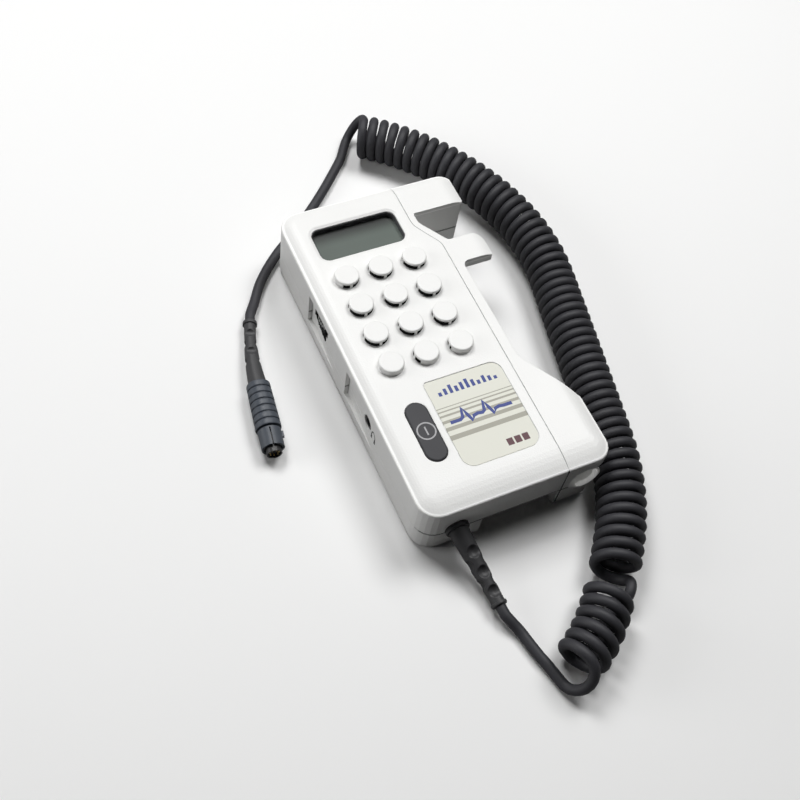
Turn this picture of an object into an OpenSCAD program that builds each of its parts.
// Hand-held bidirectional doppler with a probe holder and a curly probe cord.
// The unit lies on its back: +Z points out of the face, +Y towards the display end,
// +X towards the probe holder.
// The origin is under the middle of the case, on the surface that it lies on.

/* [Case] */
// Length of the case
unit_l = 140; // [136:1:150]
// Width across the case and the probe holder
unit_w = 75; // [74:0.5:80]
// Height of the edge of the face
edge_h = 25.3; // [25:0.1:28]
// Rise of the face from its edge to its flat middle
crown_rise = 1.7; // [0.8:0.1:2.5]
// Height of the line where front and rear mouldings meet
parting_z = 11; // [10.6:0.1:12]
// Wall of the mouldings
wall = 2.2; // [1.8:0.1:2.6]
// Thickness of the face
face_wall = 2.5; // [2:0.1:2.8]
// Gap at the joints between mouldings
joint_gap = 0.2; // [0.1:0.05:0.3]
// Corner radius of the case at the left
corner_left_r = 8; // [5:0.5:10]
// Corner radius at the bottom of the probe holder
corner_right_r = 7; // [4:0.5:10]
// Rounding of the rear edge
rear_edge_r = 1.8; // [1:0.1:2.4]
// Rounding of the edge of the face
face_edge_r = 1.2; // [0.6:0.1:2]
// Width of the slope along the left side of the face
slope_left = 6; // [4:0.5:8]
// Width of the slope along the right side of the face
slope_right = 7; // [4:0.5:8]
// Width of the slope at the display end
slope_top = 6; // [4:0.5:8]
// Width of the slope at the bottom end
slope_bottom = 11; // [8:0.5:12]

/* [Probe holder] */
// Width of the holder beside the display
head_w = 26.1; // [25:0.1:28]
// Width of the holder along the rest of the case
holder_w = 19; // [18:0.1:21]
// Distance from the display end to the upper bend of the joint line
bend_top = 21.9; // [20:0.1:24]
// Distance from the display end to the lower bend of the joint line
bend_low = 33.8; // [32:0.1:36]
// Length of the hook along the case
hook_l = 16.7; // [14:0.1:18]
// Set-back of the hook from the widest point
hook_inset = 1.1; // [0.5:0.1:2]
// Corner radius of the hook
hook_corner_r = 6; // [3:0.5:8]
// Width of the strip between the joint line and the probe bay
strip_w = 4.1; // [3.6:0.1:4.6]
// Width of the strip beside the hook notch
notch_strip_w = 2.5; // [2:0.1:3]
// Gap between the hook and the finger
notch_l = 16.4; // [14:0.1:18]
// Length of the finger along the case
finger_l = 11.6; // [9:0.1:13]
// Thickness of the finger
finger_t = 2.8; // [2:0.1:3.4]
// Set-back of the finger from the widest point
finger_inset = 1.6; // [1:0.1:3]
// Distance from the bottom end to the start of the shoulder at the strip
shoulder_start = 48.4; // [46:0.1:52]
// Distance from the bottom end to the end of the shoulder at the right side
shoulder_end = 25; // [24:0.1:28]
// Height of the underside of the lower block's front moulding
skirt_z = 19.4; // [18.5:0.1:20]
// Width of the rear foot
foot_w = 11.8; // [10:0.1:13]

/* [Probe cup] */
// Distance of the cup's axis from the right side
cup_inset = 10; // [9:0.1:11]
// Height of the cup's axis
cup_z = 14; // [13.8:0.1:15]
// Radius of the cup's bore
cup_bore_r = 5.2; // [4:0.1:5.4]
// Wall of the cup
cup_wall = 1.2; // [1:0.1:1.4]
// Length of the cup
cup_l = 28; // [20:0.5:30]
// Width and depth of the funnel at the cup's mouth
cup_funnel = 0.8; // [0.4:0.1:0.9]

/* [Display] */
// Width of the display opening
opening_w = 35.3; // [33:0.1:36]
// Length of the display opening along the case
opening_l = 15.7; // [14:0.1:17]
// Corner radius of the display opening
opening_r = 3.5; // [2:0.1:5]
// Distance of the opening from the left side
opening_left = 9.2; // [9:0.1:10]
// Distance of the opening from the display end
opening_top = 11.7; // [10.5:0.1:12.5]
// Width of the bevel around the opening
opening_bevel = 1.2; // [0.6:0.1:1.6]
// Depth of the bevel around the opening
opening_bevel_depth = 0.5; // [0.3:0.1:0.8]
// Wall of the black frame in the opening
frame_wall = 0.7; // [0.5:0.1:1]
// Depth of the window below the middle of the face
window_depth = 5.6; // [4.5:0.1:6]
// Thickness of the window
window_t = 1.2; // [0.8:0.1:1.6]
// Width of the display module
lcd_w = 38.6; // [37:0.1:39]
// Length of the display module along the case
lcd_l = 21; // [20:0.1:21.6]
// Thickness of the display module
lcd_t = 4.6; // [3:0.1:5]

/* [Round caps] */
// Radius of a round cap
disc_r = 4.73; // [4:0.05:5]
// Height of a round cap above the face
disc_h = 2.6; // [2.2:0.1:3]
// Rounding of a cap's edge
disc_edge_r = 0.6; // [0.3:0.1:0.9]
// Columns of caps
disc_columns = 3; // [2:1:3]
// Rows of caps
disc_rows = 4; // [2:1:4]
// Distance between columns
disc_pitch_x = 14; // [12:0.1:14.4]
// Distance between rows
disc_pitch_y = 13.8; // [12:0.1:14]
// Distance of the first column from the left side
disc_left = 14.17; // [13:0.01:15]
// Distance of the first row from the display end
disc_top = 37.57; // [36.5:0.01:38.5]
// Height of the sound windows under the caps
sound_h = 1.8; // [1:0.1:1.9]
// How far the hole under a cap is smaller than the cap
sound_rim = 0.15; // [0.1:0.05:0.6]
// Width of the crossed ribs that carry a cap
leg_w = 1.1; // [0.8:0.1:2]
// Radius of the area that is open to the loudspeaker
sound_r = 24; // [18:0.5:26]

/* [Loudspeaker] */
// Radius of the loudspeaker
speaker_r = 15; // [13:0.1:15.4]
// Height of the loudspeaker's basket
speaker_h = 4.6; // [4:0.1:5]
// Radius of the magnet
magnet_r = 8; // [6:0.1:9]
// Height of the magnet
magnet_h = 4.4; // [3.5:0.1:5]

/* [Power button] */
// Width of the power button
button_w = 8.2; // [7:0.1:9]
// Length of the power button
button_l = 24.4; // [20:0.1:26]
// Distance of the button's middle from the left side
button_left = 14.5; // [13.5:0.1:15.5]
// Distance of the button's middle from the bottom end
button_bottom = 31.3; // [28:0.1:34]
// Height of the button above the face
button_proud = 0.7; // [0.4:0.1:1.2]
// Travel of the button
button_travel = 0.8; // [0.4:0.1:1]
// Clearance around the button
button_gap = 0.25; // [0.2:0.05:0.4]
// Width of the button's retaining flange
button_flange = 1; // [0.6:0.1:1.2]

/* [Volume wheel] */
// Radius of the volume wheel
wheel_r = 8; // [7:0.1:8.4]
// Thickness of the volume wheel
wheel_t = 4.4; // [3:0.1:4.6]
// Clearance around the wheel
wheel_gap = 0.5; // [0.3:0.1:0.8]
// Length of the slot in the wall through which the wheel shows
wheel_slot_l = 12.8; // [11:0.1:14]
// Distance of the wheel's rim from the left side, inside the scoop
wheel_inset = 0.1; // [0:0.1:0.6]
// Distance of the wheel's axis from the display end
wheel_top = 47.1; // [44:0.1:50]
// Height of the middle of the wheel
wheel_z = 17; // [16.8:0.1:17.4]
// Radius of the wheel's shaft
wheel_shaft_r = 1.5; // [1.2:0.1:2]
// Number of flutes on the wheel
wheel_flutes = 36; // [24:1:48]

/* [Headphone socket] */
// Distance of the socket's axis from the bottom end
socket_bottom = 47.8; // [46:0.1:50]
// Height of the socket's axis
socket_z = 15.2; // [15:0.1:16]
// Radius of the socket's collar
socket_collar_r = 3; // [2.8:0.1:3.4]
// Radius of the socket's bore
socket_bore_r = 1.8; // [1.3:0.05:1.9]
// Depth of the socket's bore
socket_bore_l = 12; // [10:0.5:13]

/* [Scoops] */
// Depth of the scoops in the left wall
scoop_depth = 1.6; // [1:0.1:1.7]
// Length of the scoops along the case
scoop_l = 26.5; // [22:0.5:28]
// Length of the deepest part of the scoops
scoop_flat = 4; // [2:0.5:8]
// Lowest height of the scoops
scoop_low = 6; // [5:0.1:7]
// Highest height of the scoops
scoop_high = 20.8; // [20:0.1:21.5]

/* [Label] */
// Width of the label
label_w = 30.4; // [28:0.1:31]
// Length of the label along the case
label_l = 36.8; // [34:0.1:38]
// Distance of the label from the left side
label_left = 21.5; // [21:0.1:22.5]
// Distance of the label from the bottom end
label_bottom = 13; // [12:0.1:15]
// Thickness of the label
label_t = 0.3; // [0.2:0.05:0.4]

/* [Battery] */
// Width of the battery
battery_w = 26.5; // [25:0.1:27]
// Length of the battery's can
battery_l = 46.4; // [44:0.1:47]
// Thickness of the battery
battery_t = 17.5; // [16:0.1:17.8]
// Width of the battery bay and of the notch at the bottom end
bay_w = 30.5; // [29:0.1:31]
// Distance of the bay from the left side
bay_left = 24.3; // [24:0.1:25]
// Depth of the notch at the bottom end
notch_depth = 7; // [5:0.5:8]
// Wall of the bay
bay_wall = 1.5; // [1.1:0.1:1.8]
// Thickness of the battery door
door_t = 2; // [1.6:0.1:2.2]
// Clearance around the battery door
door_gap = 0.25; // [0.2:0.05:0.4]
// Width of the door's guide tongues
door_tongue = 0.6; // [0.4:0.1:0.7]

/* [Circuit board] */
// Height of the underside of the main board
board_z = 10.6; // [10.2:0.1:10.9]
// Thickness of the main board
board_t = 1.6; // [1:0.1:1.7]
// Clearance between the board and the case walls
board_gap = 1.6; // [1.4:0.1:2]

/* [Screws] */
// Radius of a screw's shank
screw_r = 1.3; // [1:0.1:1.4]
// Radius of a screw's head
screw_head_r = 2.4; // [2:0.1:2.5]
// Radius of a screw boss
boss_r = 2.8; // [2.6:0.1:3]
// Distance of the case screws from the sides
screw_inset = 6; // [5.8:0.1:7]
// Radius of the shank of the holder's screws
holder_screw_r = 0.8; // [0.6:0.05:0.9]
// Radius of the head of the holder's screws
holder_head_r = 1.3; // [1.1:0.05:1.4]

/* [Cord] */
// Diameter of the cord
cord_d = 3.6; // [3.2:0.05:3.62]
// Radius of the curls, to the middle of the cord
curl_r = 7.3; // [6.5:0.05:7.5]
// Distance between curls at the inner side of a bend, close part
close_pitch = 4.08; // [4.06:0.01:4.3]
// Distance between curls at the inner side of a bend, open part
open_pitch = 4.6; // [4.3:0.05:5]

/* [Strain relief] */
// Radius of the strain relief at the case
boot_r = 3.8; // [3.6:0.05:4]
// Radius of the strain relief's end collar
boot_end_r = 2.8; // [2.6:0.05:3.2]
// Radius of the flange against the case
boot_flange_r = 4.5; // [4.4:0.05:5]
// Distance of the strain relief's axis from the left side
boot_left = 13.7; // [12:0.1:15]
// Height of the strain relief's axis at the case
boot_z = 12.5; // [12:0.1:13]

/* [Connector] */
// Radius of the connector's barrel
shell_r = 4.25; // [4.1:0.05:4.4]
// Length of the connector's barrel
shell_l = 8.2; // [7.8:0.1:9]
// Radius of the nose inside the barrel
nose_r = 2.9; // [2.7:0.05:3.1]
// Length of the nose beyond the barrel
nose_l = 2.2; // [1.6:0.1:3]
// Radius of the connector's grip at the barrel
grip_r = 4.9; // [4.8:0.05:5]
// Radius of the connector's grip at the strain relief
grip_start_r = 4.5; // [4.3:0.05:4.7]
// Length of the connector's grip
grip_l = 19.4; // [18:0.2:21]
// Number of ribs on the grip
grip_ribs = 7; // [5:1:8]
// Number of pins
pin_count = 7; // [5:1:8]

/* [Hidden] */
$fn = 48;
far = 200;
case_white = [0.90, 0.90, 0.89];
charcoal = [0.20, 0.20, 0.22];
bluish_grey = [0.25, 0.28, 0.32];

left_x = -unit_w / 2;
right_x = unit_w / 2;
top_y = unit_l / 2;
bottom_y = -unit_l / 2;
crown_z = edge_h + crown_rise;
ceiling_z = crown_z - face_wall;
head_joint_x = right_x - head_w;
joint_x = right_x - holder_w;
half_gap = joint_gap / 2;

speaker_top = ceiling_z - 0.1;
speaker_low = speaker_top - speaker_h;

// Walls of the battery bay
bay_x0 = left_x + bay_left;
bay_x1 = bay_x0 + bay_w;
bay_y0 = bottom_y + notch_depth;
battery_x = (bay_x0 + bay_x1) / 2;
battery_z = door_t + 0.6;
battery_y0 = bay_y0 + 2.4;
contact_t = 2;
snap_h = 2;
bay_y1 = battery_y0 + battery_l + snap_h + contact_t + 0.6;

// Middle of the loudspeaker: two rows below the first, middle column
disc_x0 = left_x + disc_left;
disc_y0 = top_y - disc_top;
speaker_x = disc_x0 + disc_pitch_x;
speaker_y = disc_y0 - 1.5 * disc_pitch_y;

opening_x = left_x + opening_left + opening_w / 2;
opening_y = top_y - opening_top - opening_l / 2;
window_z = crown_z - window_depth;
lcd_gap = 0.15;
lcd_low = window_z - window_t - lcd_t;
board_top = board_z + board_t;
board_y0 = bottom_y + wall + board_gap + 9;
button_x = left_x + button_left;
button_y = bottom_y + button_bottom;
wheel_x = left_x + wheel_inset + wheel_r;
wheel_y = top_y - wheel_top;
socket_y = bottom_y + socket_bottom;
cup_x = right_x - cup_inset;
cup_r = cup_bore_r + cup_wall;
label_x = left_x + label_left + label_w / 2;
label_y = bottom_y + label_bottom + label_l / 2;
boot_x = left_x + boot_left;

function unit(v) = v / norm(v);
function xy(p) = [p[0], p[1]];

// Arc that rounds the corner b between a and c with radius r, in n steps
function corner(a, b, c, r, n) =
  r <= 0 ? [b] :
  let(
    u = unit(a - b),
    v = unit(c - b),
    half = acos(u * v) / 2,
    middle = b + unit(u + v) * r / sin(half),
    p = b + u * r / tan(half) - middle,
    q = b + v * r / tan(half) - middle,
    start = atan2(p.y, p.x),
    raw = atan2(q.y, q.x) - start,
    turn = raw > 180 ? raw - 360 : raw < -180 ? raw + 360 : raw
  )
  [for (i = [0:n]) middle + r * [cos(start + turn * i / n), sin(start + turn * i / n)]];

// Closed outline of [x, y, radius] corners
function rounded(points, n = 6) =
  let(count = len(points))
  [for (i = [0:count - 1])
    let(before = points[(i + count - 1) % count], after = points[(i + 1) % count])
    each corner(xy(before), xy(points[i]), xy(after), points[i][2], n)];

function rounded_box(w, l, r) =
  [[-w / 2, -l / 2, r], [w / 2, -l / 2, r], [w / 2, l / 2, r], [-w / 2, l / 2, r]];

// Solid through rings of points, lowest ring first, each turning anticlockwise
module loft(rings) {
  n = len(rings[0]);
  last = (len(rings) - 1) * n;
  sides = [for (k = [0:len(rings) - 2], i = [0:n - 1], half = [0, 1])
    let(a = k * n + i, b = k * n + (i + 1) % n)
    half == 0 ? [a, a + n, b + n] : [a, b + n, b]];
  bottom = [for (i = [0:n - 1]) i];
  top = [for (i = [n - 1:-1:0]) last + i];
  polyhedron([for (ring = rings) each ring], concat([bottom], sides, [top]), convexity = 6);
}

// One level of the case's rounded box, drawn in by a distance on each side
function case_ring(left, right, bottom, top, z) =
  let(
    bottom_left = max(corner_left_r - (left + bottom) / 2, 2),
    bottom_right = max(corner_right_r - (right + bottom) / 2, 2),
    top_right = max(hook_corner_r - (right + top) / 2, 1.5),
    top_left = max(corner_left_r - (left + top) / 2, 2),
    x0 = left_x + left,
    x1 = right_x - right,
    y0 = bottom_y + bottom,
    y1 = top_y - top
  )
  [for (p = rounded([[x0, y0, bottom_left], [x1, y0, bottom_right], [x1, y1, top_right], [x0, y1, top_left]]))
    [p.x, p.y, z]];

function even_ring(inset, z) = case_ring(inset, inset, inset, inset, z);

function slope_ring(inset, t, z) =
  case_ring(
    inset + t * (slope_left - inset), inset + t * (slope_right - inset),
    inset + t * (slope_bottom - inset), inset + t * (slope_top - inset), z);

// Outside of the whole unit: rounded rear edge, straight sides, rounded front edge, sloping crown
module envelope() {
  loft(concat(
    [for (a = [0:30:90]) even_ring(rear_edge_r * (1 - sin(a)), rear_edge_r * (1 - cos(a)))],
    [for (a = [0:30:90]) even_ring(face_edge_r * (1 - cos(a)), edge_h - face_edge_r * (1 - sin(a)))],
    [for (t = [0.2:0.2:1]) slope_ring(face_edge_r, t, edge_h + crown_rise * (1 - pow(1 - t, 2)))]
  ));
}

// Inside of the main case, under its walls and its face
module hollow() {
  loft([
    even_ring(wall, wall),
    even_ring(wall, edge_h - face_wall),
    slope_ring(wall, 1, ceiling_z)
  ]);
}

// Joint line between the case and the probe holder, from the display end to the bottom end
function joint_line(shift) =
  let(
    a = [head_joint_x + shift, far],
    b = [head_joint_x + shift, top_y - bend_top],
    c = [joint_x + shift, top_y - bend_low],
    d = [joint_x + shift, -far]
  )
  concat([a], corner(a, b, c, 8, 5), corner(b, c, d, 5, 4), [d]);

module left_of_joint(shift, z0, z1) {
  line = joint_line(shift);
  translate([0, 0, z0])
    linear_extrude(z1 - z0)
      polygon(concat([[-far, far], [-far, -far]], [for (i = [len(line) - 1:-1:0]) line[i]]));
}

module right_of_joint(shift, z0, z1) {
  translate([0, 0, z0])
    linear_extrude(z1 - z0)
      polygon(concat(joint_line(shift), [[far, -far], [far, far]]));
}

module slab(outline, z0, z1) {
  translate([0, 0, z0])
    linear_extrude(z1 - z0)
      polygon(outline);
}

// Places its children on a line from p, with +Z turned towards q
module along(p, q) {
  v = q - p;
  translate(p)
    rotate([0, acos(v.z / norm(v)), atan2(v.y, v.x)])
      children();
}

// Places of the case screws: three in the corners, one above the battery bay
case_screw_points = [
  [left_x + screw_inset, top_y - screw_inset],
  [head_joint_x - screw_inset, top_y - screw_inset],
  [left_x + screw_inset, bottom_y + screw_inset],
  [joint_x - screw_inset, bay_y1 + bay_wall + boss_r + 0.2]
];
screw_top = 20;
// Depth of the seats of the screw heads, and the clearance around head and shank
screw_seat = 2.2;
screw_gap = 0.15;
// How far a pilot hole is narrower than the shank
screw_bite = 0.2;

module at_each(points) {
  for (p = points)
    translate([p.x, p.y, 0])
      children();
}

disc_points = [for (i = [0:disc_columns - 1], j = [0:disc_rows - 1])
  [disc_x0 + i * disc_pitch_x, disc_y0 - j * disc_pitch_y]];

module round_cap() {
  top = crown_z + disc_h;
  arc = [for (a = [0:30:90])
    [disc_r - disc_edge_r * (1 - cos(a)), top - disc_edge_r * (1 - sin(a))]];
  rotate_extrude()
    polygon(concat([[0, crown_z - face_wall / 2], [disc_r, crown_z - face_wall / 2]], arc, [[0, top]]));
}

// Windows around one cap and the hole under it, with the crossed ribs left standing
module sound_window() {
  difference() {
    union() {
      translate([0, 0, ceiling_z - 1])
        cylinder(r = disc_r - sound_rim, h = face_wall + 1 + sound_h);
      translate([0, 0, crown_z])
        cylinder(r = disc_r + 0.6, h = sound_h);
    }
    for (a = [0, 90])
      rotate(a)
        cube([far, leg_w, far], center = true);
  }
}

module sound_windows() {
  intersection() {
    at_each(disc_points) sound_window();
    translate([speaker_x, speaker_y, 0])
      cylinder(r = sound_r, h = far);
  }
}

// Scoop in the left wall: a shadowed end towards the display, running out towards the bottom end
module scoop(end_y) {
  slab([
    [left_x - 1, end_y], [left_x + scoop_depth, end_y], [left_x + scoop_depth, end_y - scoop_flat],
    [left_x, end_y - scoop_l], [left_x - 1, end_y - scoop_l]
  ], scoop_low, scoop_high);
}

// Material behind a scoop, so that the wall stays whole
module scoop_pad(end_y, z0, z1) {
  translate([left_x + wall - 0.3, end_y - scoop_l * 0.75, z0])
    cube([scoop_depth + 0.1, scoop_l * 0.75 + 1.2, z1 - z0]);
}

wheel_to_scoop = 10.6;
socket_to_scoop = 19.5;
volume_scoop_y = wheel_y + wheel_to_scoop;
socket_scoop_y = socket_y + socket_to_scoop;

// Places of the two ribs that hold the cup
cup_ribs = [bottom_y + 0.25 * cup_l, bottom_y + 0.79 * cup_l];

// Room for the wheel, and the slot in the wall through which it shows
module wheel_slot() {
  low = wheel_z - wheel_t / 2 - wheel_gap;
  translate([wheel_x, wheel_y, low])
    cylinder(r = wheel_r + wheel_gap, h = wheel_t + 2 * wheel_gap);
  slab([
    [left_x - 1, wheel_y - wheel_slot_l / 2], [left_x + wall + scoop_depth, wheel_y - wheel_slot_l / 2],
    [left_x + wall + scoop_depth, wheel_y + wheel_slot_l / 2], [left_x - 1, wheel_y + wheel_slot_l / 2]
  ], low, low + wheel_t + 2 * wheel_gap);
}

module socket_hole() {
  translate([left_x - 1, socket_y, socket_z])
    rotate([0, 90, 0])
      cylinder(r = socket_collar_r + 0.15, h = 10);
}

module boot_hole() {
  translate([boot_x, bottom_y + 10, boot_z])
    rotate([90, 0, 0])
      cylinder(r = neck_r + 0.1, h = 20);
}

button_hole_w = button_w + 2 * button_gap;
button_hole_l = button_l + 2 * button_gap;

module obround(w, l, z0, z1) {
  for (side = [-1, 1])
    translate([0, side * (l - w) / 2, z0])
      cylinder(d = w, h = z1 - z0);
  translate([-w / 2, -(l - w) / 2, z0])
    cube([w, l - w, z1 - z0]);
}

label_corners = [[-1, -1, 4.5], [1, -1, 5], [1, 1, 4], [-1, 1, 1.5]];

function label_outline(grow) =
  rounded([for (c = label_corners)
    [label_x + c[0] * (label_w / 2 + grow), label_y + c[1] * (label_l / 2 + grow), c[2] + grow]]);

lip_t = 1;
lip_h = 2;
lip_gap = 0.15;
neck_r = 3.2;

module front_case() {
  bevel_w = opening_w + 2 * opening_bevel;
  bevel_l = opening_l + 2 * opening_bevel;
  color(case_white)
    difference() {
      union() {
        difference() {
          intersection() {
            envelope();
            left_of_joint(-half_gap, parting_z + half_gap, far);
          }
          intersection() {
            hollow();
            left_of_joint(-half_gap - wall, 0, far);
          }
        }
        at_each(disc_points) round_cap();
        at_each(case_screw_points)
          translate([0, 0, parting_z + 3])
            cylinder(r = boss_r, h = ceiling_z - parting_z - 2);
        translate([speaker_x, speaker_y, ceiling_z - speaker_h + 0.4])
          difference() {
            cylinder(r = speaker_r + 1.3, h = speaker_h);
            translate([0, 0, -1])
              cylinder(r = speaker_r + 0.2, h = speaker_h + 0.6);
          }
        intersection() {
          union() {
            scoop_pad(volume_scoop_y, parting_z + lip_h + 0.3, scoop_high + 1);
            scoop_pad(socket_scoop_y, parting_z + lip_h + 0.3, scoop_high + 1);
          }
          envelope();
        }
      }
      sound_windows();
      translate([opening_x, opening_y, 0]) {
        slab(rounded(rounded_box(opening_w, opening_l, opening_r)), parting_z, far);
        loft([
          [for (p = rounded(rounded_box(opening_w, opening_l, opening_r)))
            [p.x, p.y, crown_z - opening_bevel_depth - 0.01]],
          [for (p = rounded(rounded_box(bevel_w, bevel_l, opening_r + opening_bevel)))
            [p.x, p.y, crown_z + 0.01]]
        ]);
      }
      translate([button_x, button_y, 0])
        obround(button_hole_w, button_hole_l, parting_z, far);
      slab(label_outline(0.15), crown_z - label_t, far);
      scoop(volume_scoop_y);
      scoop(socket_scoop_y);
      wheel_slot();
      socket_hole();
      boot_hole();
      // Pocket of the display module
      translate([opening_x - lcd_w / 2 - lcd_gap, opening_y - lcd_l / 2 - lcd_gap, lcd_low - lcd_gap])
        cube([lcd_w + 2 * lcd_gap, lcd_l + 2 * lcd_gap, lcd_t + 2 * lcd_gap]);
      at_each(case_screw_points)
        translate([0, 0, parting_z - 1])
          cylinder(r = screw_r - screw_bite, h = screw_top - parting_z + 1.5);
    }
}

// Posts that carry the board, beside the screw bosses
post_r = 2;
board_posts = [
  [left_x + screw_inset, (wheel_y + socket_y) / 2],
  [left_x + screw_inset, board_y0 + post_r + 1],
  [head_joint_x - screw_inset, opening_y - lcd_l / 2 - post_r - 1],
  [opening_x - opening_w / 4, top_y - screw_inset]
];

module rear_case() {
  bay_top = min(battery_z + battery_t + 0.8, ceiling_z - 1);
  bay_end_top = speaker_low - magnet_h - 0.4;
  lip_x = joint_x - half_gap - wall - lip_gap;
  color(case_white)
    difference() {
      union() {
        difference() {
          intersection() {
            envelope();
            left_of_joint(-half_gap, 0, parting_z - half_gap);
          }
          intersection() {
            hollow();
            left_of_joint(-half_gap - wall, 0, far);
          }
        }
        // Lip that seats inside the front moulding
        intersection() {
          loft([even_ring(wall + lip_gap, parting_z - 2), even_ring(wall + lip_gap, parting_z + lip_h)]);
          left_of_joint(-half_gap - wall - lip_gap, parting_z - 2, parting_z + lip_h);
          difference() {
            left_of_joint(0, 0, far);
            intersection() {
              loft([even_ring(wall + lip_gap + lip_t, 0), even_ring(wall + lip_gap + lip_t, far)]);
              left_of_joint(-half_gap - wall - lip_gap - lip_t, 0, far);
            }
          }
        }
        // Walls of the battery bay
        translate([bay_x0 - bay_wall, bay_y0, 0.3])
          cube([bay_wall, battery_y0 + battery_l - bay_y0, bay_top]);
        translate([bay_x0 - bay_wall, bay_y0, 0.3])
          cube([bay_wall, bay_y1 - bay_y0 + bay_wall, bay_end_top - 0.3]);
        translate([bay_x0 - bay_wall, bottom_y + 1, 0.3])
          cube([bay_wall, notch_depth + 1, parting_z - half_gap - 0.3]);
        translate([bay_x0 - bay_wall, bay_y1, 0.3])
          cube([lip_x - bay_x0 + bay_wall, bay_wall, bay_end_top - 0.3]);
        translate([bay_x0 - bay_wall, bay_y1, 0.3])
          cube([joint_x - bay_x0 + bay_wall - 1, bay_wall, parting_z - half_gap - 0.3]);
        at_each(case_screw_points)
          translate([0, 0, 0.5])
            cylinder(r = boss_r, h = parting_z + 2.3);
        at_each(board_posts)
          translate([0, 0, 0.5])
            cylinder(r = post_r, h = board_z - 0.5);
      }
      // Battery bay, open to the back and to the bottom end
      translate([bay_x0, bottom_y - 1, -1])
        cube([bay_w, notch_depth + 1.01, far]);
      translate([bay_x0, bay_y0 - 0.01, -1])
        cube([bay_w, bay_y1 - bay_y0, far]);
      // Grooves for the door's tongues
      translate([bay_x0 - door_tongue, bottom_y - 1, door_t * 0.4])
        cube([bay_w + 2 * door_tongue, bay_y1 - bottom_y + 1, door_t * 0.4 + door_gap]);
      scoop(volume_scoop_y);
      scoop(socket_scoop_y);
      socket_hole();
      boot_hole();
      at_each(case_screw_points) {
        translate([0, 0, -1])
          cylinder(r = screw_head_r + screw_gap, h = 1 + screw_seat);
        cylinder(r = screw_r + screw_gap, h = far);
      }
    }
}

finger_top_y = top_y - hook_l - notch_l;
finger_low_y = finger_top_y - finger_l;
strip_x = joint_x + strip_w;
notch_x = head_joint_x + notch_strip_w;
shoulder_y0 = bottom_y + shoulder_start;
shoulder_y1 = bottom_y + shoulder_end;

// Outline of the probe holder, from the hook down to the lower block
holder_outline = rounded([
  [-far, top_y + 10, 0],
  [-far, bottom_y - 10, 0],
  [right_x + 0.1, bottom_y - 10, 0],
  [right_x + 0.1, shoulder_y1, 7],
  [strip_x, shoulder_y0, 8],
  [strip_x - 0.3, finger_low_y, 2.5],
  [right_x - finger_inset, finger_low_y, 0.8],
  [right_x - finger_inset, finger_top_y, 4.5],
  [strip_x - 1, finger_top_y, 2.2],
  [notch_x, top_y - bend_top + 0.6, 6],
  [notch_x + 0.2, top_y - hook_l, 0.8],
  [right_x - hook_inset, top_y - hook_l, 1.5],
  [right_x - hook_inset, top_y + 10, 0]
]);

module cup_seat(grow) {
  translate([cup_x, bottom_y - 1, cup_z])
    rotate([-90, 0, 0])
      cylinder(r = cup_r + grow, h = cup_l + 2);
}

// Distance of the lower holder screw from the start of the shoulder
shoulder_screw = 9;
holder_screw_points = [
  [head_joint_x + head_w / 2 + 1, top_y - hook_l / 2],
  [joint_x + strip_w / 2, shoulder_y0 - shoulder_screw]
];

// Clear way of the probe from the cup to the bay beside the strip
module probe_way() {
  translate([cup_x, bottom_y + cup_l, cup_z])
    rotate([-90, 0, 0])
      cylinder(r = cup_bore_r + 0.3, h = finger_low_y - bottom_y - cup_l);
}

module holder_front() {
  rim = 2.2;
  color(case_white)
    difference() {
      intersection() {
        envelope();
        right_of_joint(half_gap, parting_z + half_gap, far);
        slab(holder_outline, 0, far);
      }
      // Open space under the finger
      translate([strip_x - 0.1, finger_low_y - 3, 0])
        cube([far, finger_l + 6, edge_h - finger_t]);
      // Open space under the lower block, beside the strip
      translate([strip_x, bottom_y - 1, 0])
        cube([far, shoulder_start + 10, skirt_z]);
      // Hollow of the lower block, with two ribs that hold the cup
      difference() {
        slab(rounded([
          [strip_x, bottom_y + rim, 1],
          [right_x - rim, bottom_y + rim, corner_right_r - rim],
          [right_x - rim, shoulder_y1 - 1.4, 5],
          [strip_x + 0.6, shoulder_y0 - 3.6, 1]
        ]), skirt_z - 1, edge_h - face_wall);
        for (y = cup_ribs)
          translate([strip_x - 1, y, skirt_z])
            cube([holder_w, 1.6, far]);
      }
      cup_seat(0.1);
      probe_way();
      at_each(holder_screw_points)
        translate([0, 0, parting_z - 1])
          cylinder(r = holder_screw_r - screw_bite, h = screw_top - parting_z + 1.5);
    }
}

module holder_rear() {
  foot_x = joint_x + foot_w;
  color(case_white)
    difference() {
      intersection() {
        envelope();
        right_of_joint(half_gap, 0, far);
        slab(holder_outline, 0, parting_z - half_gap);
      }
      // No rear half under the finger or beside the foot
      translate([strip_x - 0.1, finger_low_y - 3, -1])
        cube([far, finger_l + 6, far]);
      translate([foot_x, bottom_y - 1, -1])
        cube([far, shoulder_start + 10, far]);
      cup_seat(0.1);
      probe_way();
      at_each(holder_screw_points) {
        translate([0, 0, -1])
          cylinder(r = holder_head_r + screw_gap, h = 1 + screw_seat);
        cylinder(r = holder_screw_r + screw_gap, h = far);
      }
    }
}

module probe_cup() {
  color([0.86, 0.86, 0.85])
    translate([cup_x, bottom_y, cup_z])
      rotate([-90, 0, 0])
        rotate_extrude()
          polygon([
            [cup_bore_r + cup_funnel, 0], [cup_r, 0], [cup_r, cup_l],
            [cup_bore_r, cup_l], [cup_bore_r, cup_funnel * 1.5]
          ]);
}

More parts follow.
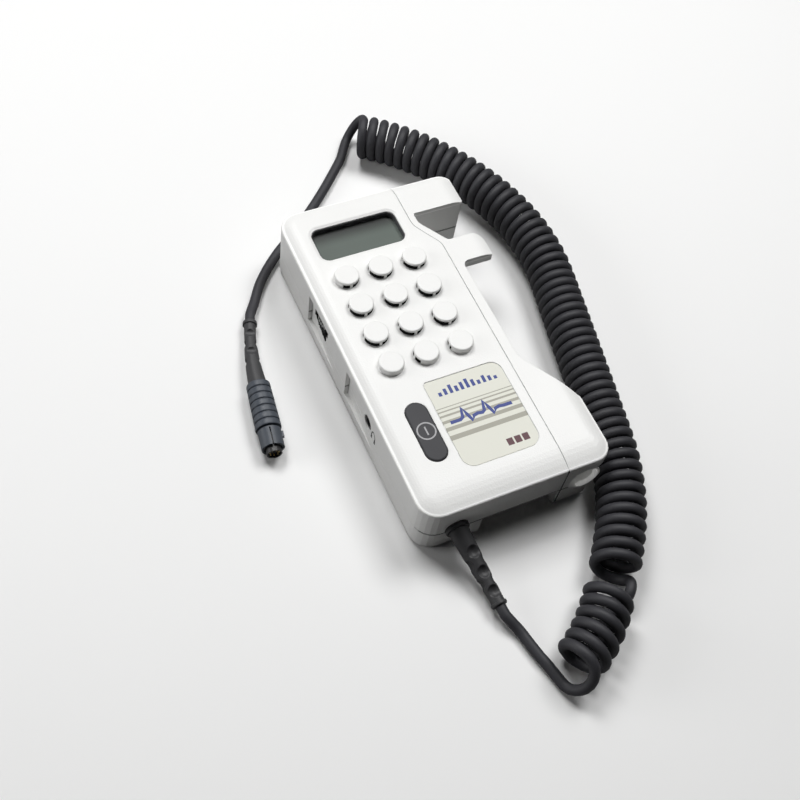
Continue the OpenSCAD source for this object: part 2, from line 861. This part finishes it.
module display_frame() {
  gap = 0.1;
  w = opening_w - 2 * gap;
  l = opening_l - 2 * gap;
  flange = 1;
  color("black")
    translate([opening_x, opening_y, 0])
      difference() {
        union() {
          slab(rounded(rounded_box(w, l, opening_r - gap)), window_z, crown_z - opening_bevel_depth - 0.3);
          slab(rounded(rounded_box(w + 2 * flange, l + 2 * flange, opening_r + flange - gap)),
            window_z, ceiling_z - 0.1);
        }
        slab(rounded(rounded_box(w - 2 * frame_wall, l - 2 * frame_wall, opening_r - gap - frame_wall)),
          window_z - 1, far);
      }
}

module display_window() {
  color([0.75, 0.80, 0.80, 0.35])
    translate([opening_x, opening_y, 0])
      slab(rounded(rounded_box(opening_w + 1.6, opening_l + 1.6, opening_r)), window_z - window_t, window_z);
}

module lcd_module() {
  bezel = 1.6;
  color([0.42, 0.47, 0.44])
    translate([opening_x, opening_y, lcd_low]) {
      translate([-lcd_w / 2, -lcd_l / 2, 0])
        cube([lcd_w, lcd_l, lcd_t - 0.4]);
      translate([-lcd_w / 2 + bezel, -lcd_l / 2 + bezel, lcd_t - 0.5])
        cube([lcd_w - 2 * bezel, lcd_l - 2 * bezel, 0.5]);
      // Legs down to the board
      for (x = [-1, 1], y = [-1, 1])
        translate([x * (lcd_w / 2 - 2), y * (lcd_l / 2 - 2), board_top - lcd_low])
          cylinder(r = 0.8, h = lcd_low - board_top + 0.1);
    }
}

module main_board() {
  x0 = left_x + wall + board_gap;
  x1 = joint_x - wall - board_gap;
  head_x1 = head_joint_x - wall - board_gap;
  y1 = top_y - wall - board_gap;
  color([0.10, 0.35, 0.20])
    difference() {
      slab([
        [x0, board_y0], [bay_x0 - bay_wall - 0.6, board_y0],
        [bay_x0 - bay_wall - 0.6, bay_y1 + bay_wall + 0.6],
        [x1, bay_y1 + bay_wall + 0.6], [x1, top_y - bend_low - 4], [head_x1, top_y - bend_top - 4],
        [head_x1, y1], [x0, y1]
      ], board_z, board_top);
      // Corners left free for the screw bosses
      for (i = [0:3]) {
        p = case_screw_points[i];
        translate([p.x, p.y, board_z - 1]) {
          cylinder(r = boss_r + 0.3, h = board_t + 2);
          translate([i % 2 == 0 ? -far : 0, i < 2 ? 0 : -far, 0])
            cube([far, far, board_t + 2]);
        }
      }
      for (x = [-1, 1], y = [-1, 1])
        translate([opening_x + x * (lcd_w / 2 - 2), opening_y + y * (lcd_l / 2 - 2), board_z - 1])
          cylinder(r = 0.5, h = board_t + 2);
    }
}

module speaker_basket() {
  color([0.30, 0.30, 0.32])
    translate([speaker_x, speaker_y, 0])
      rotate_extrude()
        polygon([
          [magnet_r - 1, speaker_low], [magnet_r + 1, speaker_low], [speaker_r - 1.2, speaker_top - 1.4],
          [speaker_r, speaker_top - 1.2], [speaker_r, speaker_top], [speaker_r - 2, speaker_top],
          [speaker_r - 2.4, speaker_top - 0.8], [magnet_r - 1, speaker_low + 0.8]
        ]);
}

module speaker_cone() {
  edge = speaker_r - 2.7;
  color([0.12, 0.12, 0.12])
    translate([speaker_x, speaker_y, 0])
      rotate_extrude()
        polygon([
          [0, speaker_low + 1.2], [4, speaker_low + 1.2], [edge - 0.2, speaker_top - 0.75],
          [edge + 0.2, speaker_top - 0.5], [edge - 0.4, speaker_top - 0.25],
          [4, speaker_low + 2], [0, speaker_low + 2.6]
        ]);
}

module speaker_magnet() {
  color([0.45, 0.45, 0.47])
    translate([speaker_x, speaker_y, speaker_low - magnet_h])
      union() {
        cylinder(r = magnet_r, h = magnet_h);
        cylinder(r = magnet_r - 1.3, h = magnet_h + 0.9);
      }
}

switch_h = 3.4;
plunger_r = 1.7;
plunger_gap = 0.08;
plunger_top = board_top + switch_h + button_travel + 0.3;

module power_button() {
  flange_top = ceiling_z - 0.25;
  flange_t = 1;
  top = crown_z + button_proud;
  edge = 0.5;
  color([0.33, 0.33, 0.35])
    translate([button_x, button_y, 0]) {
      obround(button_w, button_l, flange_top - flange_t, top - edge);
      obround(button_w - edge, button_l - edge, top - edge - 0.1, top - edge / 4);
      obround(button_w - 2 * edge, button_l - 2 * edge, top - edge, top);
      obround(button_w + 2 * button_flange, button_l + 2 * button_flange, flange_top - flange_t, flange_top);
      translate([0, 0, plunger_top])
        cylinder(r = 2.2, h = flange_top - plunger_top - 0.5);
    }
}

module switch_plunger() {
  color([0.15, 0.15, 0.15])
    translate([button_x, button_y, board_top + 0.3 + button_travel])
      cylinder(r = plunger_r, h = plunger_top - board_top - 0.3 - button_travel);
}

module power_switch() {
  half = 3;
  color([0.20, 0.20, 0.20])
    translate([button_x, button_y, board_top])
      difference() {
        translate([-half, -half, 0])
          cube([2 * half, 2 * half, switch_h]);
        translate([0, 0, 0.2])
          cylinder(r = plunger_r + plunger_gap, h = switch_h);
      }
}

pot_h = wheel_z - wheel_t / 2 - 0.3 - board_top;
pot_r = wheel_inset + wheel_r - wall - scoop_depth - 0.1;
shaft_gap = 0.06;

module volume_wheel() {
  tip = wheel_r;
  root = wheel_r - 0.35;
  step = 360 / wheel_flutes;
  color(charcoal)
    translate([wheel_x, wheel_y, 0]) {
      translate([0, 0, wheel_z - wheel_t / 2])
        linear_extrude(wheel_t)
          polygon([for (i = [0:wheel_flutes - 1], half = [0, 1, 2, 3])
            let(r = half < 2 ? tip : root, a = (i + half / 4) * step)
            [r * cos(a), r * sin(a)]]);
      translate([0, 0, board_top + 0.4])
        cylinder(r = wheel_shaft_r, h = wheel_z - board_top);
    }
}

module volume_pot() {
  color([0.35, 0.36, 0.38])
    translate([wheel_x, wheel_y, board_top])
      difference() {
        cylinder(r = pot_r, h = pot_h);
        translate([0, 0, -1])
          cylinder(r = wheel_shaft_r + shaft_gap, h = pot_h + 2);
      }
}

module headphone_socket() {
  body_x = left_x + wall + scoop_depth + 0.2;
  body_w = 7;
  color([0.10, 0.10, 0.10])
    difference() {
      union() {
        translate([body_x, socket_y - body_w / 2, board_top])
          cube([socket_bore_l, body_w, 2 * (socket_z - board_top)]);
        translate([left_x + scoop_depth / 2 + 0.2, socket_y, socket_z])
          rotate([0, 90, 0])
            cylinder(r = socket_collar_r, h = body_x - left_x);
      }
      translate([left_x - 1, socket_y, socket_z])
        rotate([0, 90, 0])
          cylinder(r = socket_bore_r, h = socket_bore_l + 1 + scoop_depth / 2 + 0.2);
    }
}

module front_label() {
  color([0.86, 0.86, 0.82])
    slab(label_outline(0), crown_z - label_t, crown_z - 0.02);
}

module battery() {
  color([0.55, 0.45, 0.20]) {
    slab([for (p = rounded(rounded_box(battery_w, battery_l, 1.2), 3))
      [p.x + battery_x, p.y + battery_y0 + battery_l / 2]], battery_z, battery_z + battery_t);
    for (side = [-1, 1])
      translate([battery_x + side * 6.35, battery_y0 + battery_l - 0.1, battery_z + battery_t / 2])
        rotate([-90, 0, 0])
          cylinder(r = side < 0 ? 3 : 4, h = snap_h);
  }
}

module battery_contacts() {
  y = bay_y1 - contact_t - 0.2;
  plate_w = 22;
  plate_h = 8;
  color([0.15, 0.15, 0.15])
    translate([battery_x - plate_w / 2, y, battery_z + battery_t / 2 - plate_h / 2])
      cube([plate_w, contact_t, plate_h]);
}

module battery_door() {
  w = bay_w - 2 * door_gap;
  y0 = bay_y0;
  y1 = bay_y1 - 0.4;
  z0 = 0.2;
  end_t = 1.8;
  tongue_z = door_t * 0.4 + door_gap / 2;
  color(case_white) {
    translate([bay_x0 + door_gap, y0, z0])
      cube([w, y1 - y0, door_t - z0]);
    translate([bay_x0 + door_gap, y0, z0])
      cube([w, end_t, parting_z - half_gap - 0.4]);
    translate([bay_x0 + door_gap - door_tongue, y0 + 4, tongue_z])
      cube([w + 2 * door_tongue, y1 - y0 - 6, door_t * 0.4]);
    // Grip ridges
    for (i = [0:4])
      translate([battery_x - 7, y0 + 4 + i * 2, 0.02])
        cube([14, 0.9, 0.6]);
  }
}

module screw(shank_r, head_r) {
  head_h = 1.6;
  recess = 0.9;
  head_z = screw_seat - head_h - 0.1;
  difference() {
    union() {
      translate([0, 0, head_z])
        cylinder(r = head_r, h = head_h);
      translate([0, 0, head_z + head_h - 0.1])
        cylinder(r = shank_r - screw_bite - 0.05, h = screw_top - head_z - head_h);
    }
    translate([0, 0, head_z])
      for (a = [0, 90])
        rotate(a)
          cube([1.1 * head_r, 0.25 * head_r, 2 * recess], center = true);
  }
}

module case_screws() {
  color([0.60, 0.60, 0.62])
    at_each(case_screw_points) screw(screw_r, screw_head_r);
}

module holder_screws() {
  color([0.60, 0.60, 0.62])
    at_each(holder_screw_points) screw(holder_screw_r, holder_head_r);
}

// Route of the cord. The hand-chosen points are in the middle of the cord, which lies on the table.
table_z = cord_d / 2;
boot_start = [boot_x, bottom_y - 0.6, boot_z];
boot_bend = [-21.2, -85, 6.8];
boot_end = [-19.7, -99.4, 4.2];
plug_boot_start = [-58.4, 41.3, 3.3];
plug_bend = [-63.1, 26.8, 4.1];
plug_joint = [-65.95, 12.25, grip_r];
grip_way = unit([-4.9, -31, 0]);
grip_end = plug_joint + grip_l * grip_way;
plug_tip = grip_end + shell_l * grip_way;

// Quadratic curve that starts at a, passes b half-way and ends at c
function curve_through(a, b, c) = [a, 2 * b - (a + c) / 2, c];
function on_curve(p, t) = (1 - t) * (1 - t) * p[0] + 2 * t * (1 - t) * p[1] + t * t * p[2];
function curve_way(p, t) = unit((1 - t) * (p[1] - p[0]) + t * (p[2] - p[1]));
boot_line = curve_through(boot_start, boot_bend, boot_end);
plug_gap = 0.35;
plug_line = curve_through(plug_joint - plug_gap * grip_way, plug_bend, plug_boot_start);

// Axis of the curly part: where it starts, its first heading,
// and [length, turn, distance between curls] of each arc
coil_start = [13.2, 117.15];
coil_heading = -33.9;
coil_arcs = [
  [7.2, 0, close_pitch], [71.5, -39.9, close_pitch], [40, -27.8, close_pitch], [75, -0.1, close_pitch],
  [40, -24.2, close_pitch], [30, -8.3, open_pitch], [21.5, -19, open_pitch], [7, -15, open_pitch]
];
// Lengths of the open half curl at either end
lead_in = 7.2;
lead_out = 7;
// Distance along the axis at which the winding turns round, and the radius of that turn
kink_at = 248;
kink_r = 4.2;
rings_per_curl = 8;
curl_sides = 6;

function arc_start(k) = k == 0 ? 0 : arc_start(k - 1) + coil_arcs[k - 1][0];
coil_length = arc_start(len(coil_arcs));
function arc_of(s, k = 0) = k >= len(coil_arcs) - 1 || s < arc_start(k + 1) ? k : arc_of(s, k + 1);
function heading_at(s) =
  let(k = arc_of(s))
  coil_heading + (k == 0 ? 0 : sum_turns(k)) + coil_arcs[k][1] * (s - arc_start(k)) / coil_arcs[k][0];
function sum_turns(k) = k == 0 ? 0 : coil_arcs[k - 1][1] + sum_turns(k - 1);
function arc_step(h, l, turn) =
  abs(turn) < 0.01 ? l * [cos(h), sin(h)] :
  l / (turn * PI / 180) * [sin(h + turn) - sin(h), cos(h) - cos(h + turn)];
function arc_base(k) =
  k == 0 ? coil_start :
  arc_base(k - 1) + arc_step(coil_heading + sum_turns(k - 1), coil_arcs[k - 1][0], coil_arcs[k - 1][1]);
coil_bases = [for (k = [0:len(coil_arcs) - 1]) arc_base(k)];
coil_headings = [for (k = [0:len(coil_arcs) - 1]) coil_heading + sum_turns(k)];
function axis_point(s) =
  let(k = arc_of(s), part = (s - arc_start(k)) / coil_arcs[k][0])
  coil_bases[k] + arc_step(coil_headings[k], s - arc_start(k), coil_arcs[k][1] * part);
function turns_per_mm(s) =
  let(k = arc_of(s), bend = abs(coil_arcs[k][1]) * PI / 180 / coil_arcs[k][0])
  (1 - curl_r * bend) / coil_arcs[k][2];

// Steps [distance along the axis, angle around it], starting and ending under the axis
curl_step = 360 / rings_per_curl;
half_curl = rings_per_curl / 2;
function ease(i) = (1 - cos(i * curl_step)) / 2;
first_steps = [for (i = [0:half_curl - 1]) [lead_in * ease(i), -90 + i * curl_step]];
upper_steps = [for (s = lead_in, a = 90; s < kink_at;
    s = s + 1 / rings_per_curl / turns_per_mm(s), a = a + curl_step) [s, a]];
kink_s = upper_steps[len(upper_steps) - 1][0];
kink_a = upper_steps[len(upper_steps) - 1][1];
kink_swing = kink_r / curl_r * 180 / PI;
kink_steps = [for (t = [30:30:180]) [kink_s + kink_r * (1 - cos(t)), kink_a + kink_swing * sin(t)]];
lower_all = [for (s = kink_s + 2 * kink_r, a = kink_a; s < coil_length;
    s = s + 1 / rings_per_curl / turns_per_mm(s), a = a - curl_step) [s, a]];
lower_last = max([for (i = [1:len(lower_all) - 1])
  if (abs((lower_all[i][1] - 90) % 360) < 0.1 && lower_all[i][0] < coil_length - lead_out) i]);
lower_steps = [for (i = [1:lower_last]) lower_all[i]];
last_top = lower_all[lower_last];
last_steps = [for (i = [1:half_curl]) [last_top[0] + lead_out * ease(i), last_top[1] - i * curl_step]];
coil_steps = concat(first_steps, upper_steps, kink_steps, lower_steps, last_steps);

function beside(s) = [-sin(heading_at(s)), cos(heading_at(s)), 0];
function curl_point(step) =
  let(p = axis_point(step[0]))
  [p.x, p.y, table_z + curl_r] + curl_r * (cos(step[1]) * beside(step[0]) + sin(step[1]) * [0, 0, 1]);
coil_middle = [for (step = coil_steps) curl_point(step)];
coil_first_way = beside(0);
coil_last_way = -beside(coil_steps[len(coil_steps) - 1][0]);
coil_head = coil_middle[0] - cord_d * coil_first_way;
coil_foot = coil_middle[len(coil_middle) - 1] + cord_d * coil_last_way;
coil_route = concat([coil_head], coil_middle, [coil_foot]);

// Least gap between the curls, from their points to the straight runs of the next curl
function to_run(p, a, b) =
  let(t = max(0, min(1, (p - a) * (b - a) / ((b - a) * (b - a)))))
  norm(p - a - t * (b - a));
coil_gap = min([for (i = [0:len(coil_route) - 7], j = [i + 5:min(i + 20, len(coil_route) - 2)])
  to_run(coil_route[i], coil_route[j], coil_route[j + 1])]) - cord_d;
echo(curls = len(coil_middle) / rings_per_curl, least_gap = coil_gap);

// Straight stretches: points chosen by hand between the pieces that they join
boot_way = curve_way(boot_line, 1);
lead_points = [
  boot_end, boot_end + cord_d * boot_way,
  [-16.7, -109.6, 2.2], [-15.4, -115.5, table_z], [-14.4, -120, table_z],
  coil_foot + cord_d * coil_last_way, coil_foot
];
plug_boot_way = curve_way(plug_line, 1);
tail_points = [
  coil_head, coil_head - cord_d * coil_first_way,
  [4, 105.5, table_z], [-7.9, 93.6, table_z], [-22, 81.2, table_z],
  [-36.6, 70, table_z], [-46.8, 59.8, table_z], [-53.4, 50.2, 2.2],
  plug_boot_start + cord_d * plug_boot_way, plug_boot_start
];

// Smooth curve through points, with straight end runs
function spline_point(p, i, t) =
  let(a = p[max(i - 1, 0)], b = p[i], c = p[i + 1], d = p[min(i + 2, len(p) - 1)])
  0.5 * (2 * b + (c - a) * t + (2 * a - 5 * b + 4 * c - d) * t * t + (3 * b - a - 3 * c + d) * t * t * t);
function smooth(p, n) =
  concat(
    [p[0]],
    [for (i = [1:len(p) - 3], k = [0:n - 1])
      let(q = spline_point(p, i, k / n)) [q.x, q.y, max(q.z, table_z)]],
    [p[len(p) - 2], p[len(p) - 1]]);

function way_at(p, i) = unit(p[min(i + 1, len(p) - 1)] - p[max(i - 1, 0)]);
function ring(p, way, r, sides, turn) =
  let(side = unit(cross([0, 0, 1], way)), up = cross(way, side))
  [for (k = [0:sides - 1]) p + r * (cos(turn + k * 360 / sides) * side + sin(turn + k * 360 / sides) * up)];

// Tube along points that lie nearly level
module tube(p, r, sides) {
  loft([for (i = [0:len(p) - 1]) ring(p[i], way_at(p, i), r, sides, 0)]);
}

// Tube around a bent axis: each ring is turned from the axis outwards
module curled_tube(p, outward, r, sides) {
  loft([for (i = [0:len(p) - 1])
    let(way = way_at(p, i), b = unit(cross(way, outward[i])), n = cross(b, way))
    [for (k = [0:sides - 1]) p[i] + r * (cos(30 + k * 360 / sides) * n + sin(30 + k * 360 / sides) * b)]]);
}

coil_outward = [for (step = concat([coil_steps[0]], coil_steps, [coil_steps[len(coil_steps) - 1]]))
  cos(step[1]) * beside(step[0]) + sin(step[1]) * [0, 0, 1]];

flange_t = 1.6;
pocket_depth = 1.1;
collar_at = 0.89;

// Curved and tapered strain relief: a collar at the cord's end, and pockets by turns in its sides and its top
module strain_relief(line, first_way, thick_r, thin_r, end_r, side_pockets, top_pockets, pocket_w) {
  difference() {
    loft([
      for (i = [0:7])
        let(t = i / 8, way = i == 0 ? first_way : curve_way(line, t))
        ring(on_curve(line, t), way, thick_r + (thin_r - thick_r) * t, 16, 0),
      ring(on_curve(line, collar_at), curve_way(line, collar_at), end_r, 16, 0),
      ring(line[2], curve_way(line, 1), end_r, 16, 0)
    ]);
    for (t = side_pockets, a = [90, 270])
      pocket(line, t, a, thick_r + (thin_r - thick_r) * t, pocket_w);
    for (t = top_pockets, a = [0, 180])
      pocket(line, t, a, thick_r + (thin_r - thick_r) * t, pocket_w);
  }
}

module pocket(line, t, turn, r, w) {
  along(on_curve(line, t), on_curve(line, t) + curve_way(line, t))
    rotate(turn)
      translate([r - pocket_depth, -r, -w / 2])
        cube([2 * r, 2 * r, w]);
}

// Place of the collar that holds the strain relief behind the wall and its lip
collar_y = wall + lip_gap + lip_t + 0.15;

module case_boot() {
  color(charcoal) {
    translate([boot_x, bottom_y, boot_z])
      rotate([90, 0, 0])
        cylinder(r = boot_flange_r, h = flange_t);
    translate([boot_x, bottom_y + collar_y + 0.1, boot_z])
      rotate([90, 0, 0])
        cylinder(r = neck_r, h = collar_y + 1);
    translate([boot_x, bottom_y + collar_y + 1.6, boot_z])
      rotate([90, 0, 0])
        cylinder(r = boot_r, h = 1.6);
    strain_relief(boot_line, [0, -1, 0], boot_r, boot_end_r - 0.3, boot_end_r,
      [0.4, 0.68], [0.22, 0.5, 0.8], 2.4);
  }
}

module cord_lead() {
  color(charcoal) tube(smooth(lead_points, 3), cord_d / 2, 8);
}

module cord_coil() {
  color(charcoal) curled_tube(coil_route, coil_outward, cord_d / 2, curl_sides);
}

module cord_tail() {
  color(charcoal) tube(smooth(tail_points, 3), cord_d / 2, 8);
}

module connector_boot() {
  color(bluish_grey)
    strain_relief(plug_line, -grip_way, 3.4, 2.3, 2.8, [0.34, 0.64], [0.49, 0.79], 2);
}

module connector_grip() {
  groove_w = 0.5;
  groove_depth = 0.4;
  edge = 0.3;
  edge_fall = 0.12;
  spigot_r = 3.3;
  spigot_z = 0.05 - plug_gap;
  rib_step = (grip_l + groove_w) / grip_ribs;
  function rib_r(z) = grip_start_r + (grip_r - grip_start_r) * z / grip_l;
  ribs = [for (i = [0:grip_ribs - 1])
    let(z0 = i * rib_step, z1 = z0 + rib_step - groove_w, r0 = rib_r(z0), r1 = rib_r(z1))
    each [
      [r0 - groove_depth, z0], [r0 - edge_fall, z0], [r0, z0 + edge],
      [r1, z1 - edge], [r1 - edge_fall, z1], [r1 - groove_depth, z1]
    ]];
  color(bluish_grey)
    along(plug_joint, grip_end)
      rotate_extrude()
        polygon(concat([[0, spigot_z], [spigot_r, spigot_z], [spigot_r, 0]], ribs, [[0, grip_l]]));
}

// The barrel: a neck at the grip, a tapered root that carries the key, and the round end
shell_neck = 0.75;
shell_root = 4.2;
shell_bore_r = shell_r - 0.8;
shell_floor = 3;

module connector_shell() {
  root_rise = 0.15;
  key_w = 1.4;
  key_l = 2.4;
  key_h = 0.7;
  slit_w = 0.45;
  color(bluish_grey)
    along(grip_end, plug_tip)
      difference() {
        union() {
          cylinder(r = shell_r - 0.6, h = shell_floor);
          translate([0, 0, shell_neck])
            cylinder(r1 = shell_r + root_rise, r2 = shell_r, h = shell_root - shell_neck);
          translate([0, 0, shell_root])
            cylinder(r = shell_r, h = shell_l - shell_root);
          translate([-key_w / 2, shell_r - 0.6, shell_neck + 1])
            cube([key_w, key_h + 0.6, key_l]);
        }
        translate([0, 0, shell_floor])
          cylinder(r = shell_bore_r, h = shell_l);
        translate([-shell_r - 1, -slit_w / 2, shell_neck + 0.4])
          cube([3, slit_w, shell_l]);
      }
}

nose_wall = 0.55;
nose_cup = 1.2;

module connector_insert() {
  along(grip_end, plug_tip)
    color("black")
      difference() {
        union() {
          translate([0, 0, shell_floor])
            cylinder(r = shell_bore_r - 0.05, h = shell_l - shell_floor - 0.9);
          translate([0, 0, shell_floor])
            cylinder(r = nose_r, h = shell_l + nose_l - shell_floor);
        }
        translate([0, 0, shell_l + nose_l - nose_cup])
          cylinder(r = nose_r - nose_wall, h = nose_cup + 1);
      }
}

module connector_pins() {
  pin_r = 0.3;
  along(grip_end, plug_tip)
    color([0.75, 0.66, 0.40])
      for (i = [0:pin_count - 1])
        rotate(i * 360 / pin_count)
          translate([nose_r - nose_wall - 2 * pin_r, 0, shell_l + nose_l - nose_cup])
            cylinder(r = pin_r, h = nose_cup - 0.4);
}

front_case();
rear_case();
holder_front();
holder_rear();
probe_cup();
display_frame();
display_window();
lcd_module();
main_board();
speaker_basket();
speaker_cone();
speaker_magnet();
power_button();
switch_plunger();
power_switch();
volume_wheel();
volume_pot();
headphone_socket();
front_label();
battery();
battery_contacts();
battery_door();
case_screws();
holder_screws();
case_boot();
cord_lead();
cord_coil();
cord_tail();
connector_boot();
connector_grip();
connector_shell();
connector_insert();
connector_pins();
